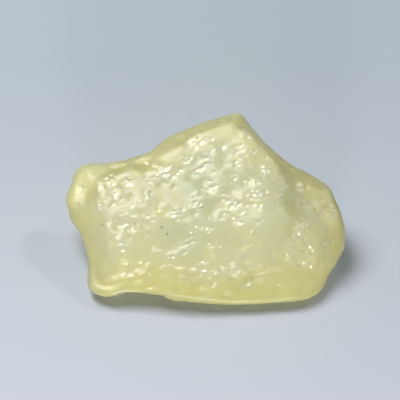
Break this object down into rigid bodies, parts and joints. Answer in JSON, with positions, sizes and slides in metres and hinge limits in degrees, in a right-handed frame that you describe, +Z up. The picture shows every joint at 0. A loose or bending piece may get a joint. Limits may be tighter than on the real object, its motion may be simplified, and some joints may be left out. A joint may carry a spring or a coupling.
{
  "type": "raw libyan desert glass",
  "caption": "Wind-worn fragment of natural pale yellow silica glass, with a sloping pitted face, a crest along its back and a flat underside to rest on.",
  "frame": {"origin": "on the flat base, under the middle of the fragment's box", "axes": "+X along the fragment's length, +Y from the low front edge to the steep back, +Z up from the base"},
  "size_m": [0.042, 0.027, 0.0164],
  "materials": {
    "desert_glass": "frosted by blown sand, with small polished pits"
  },
  "bodies": {
    "root": {"glass_fragment": "desert_glass"}
  },
  "joints": []
}
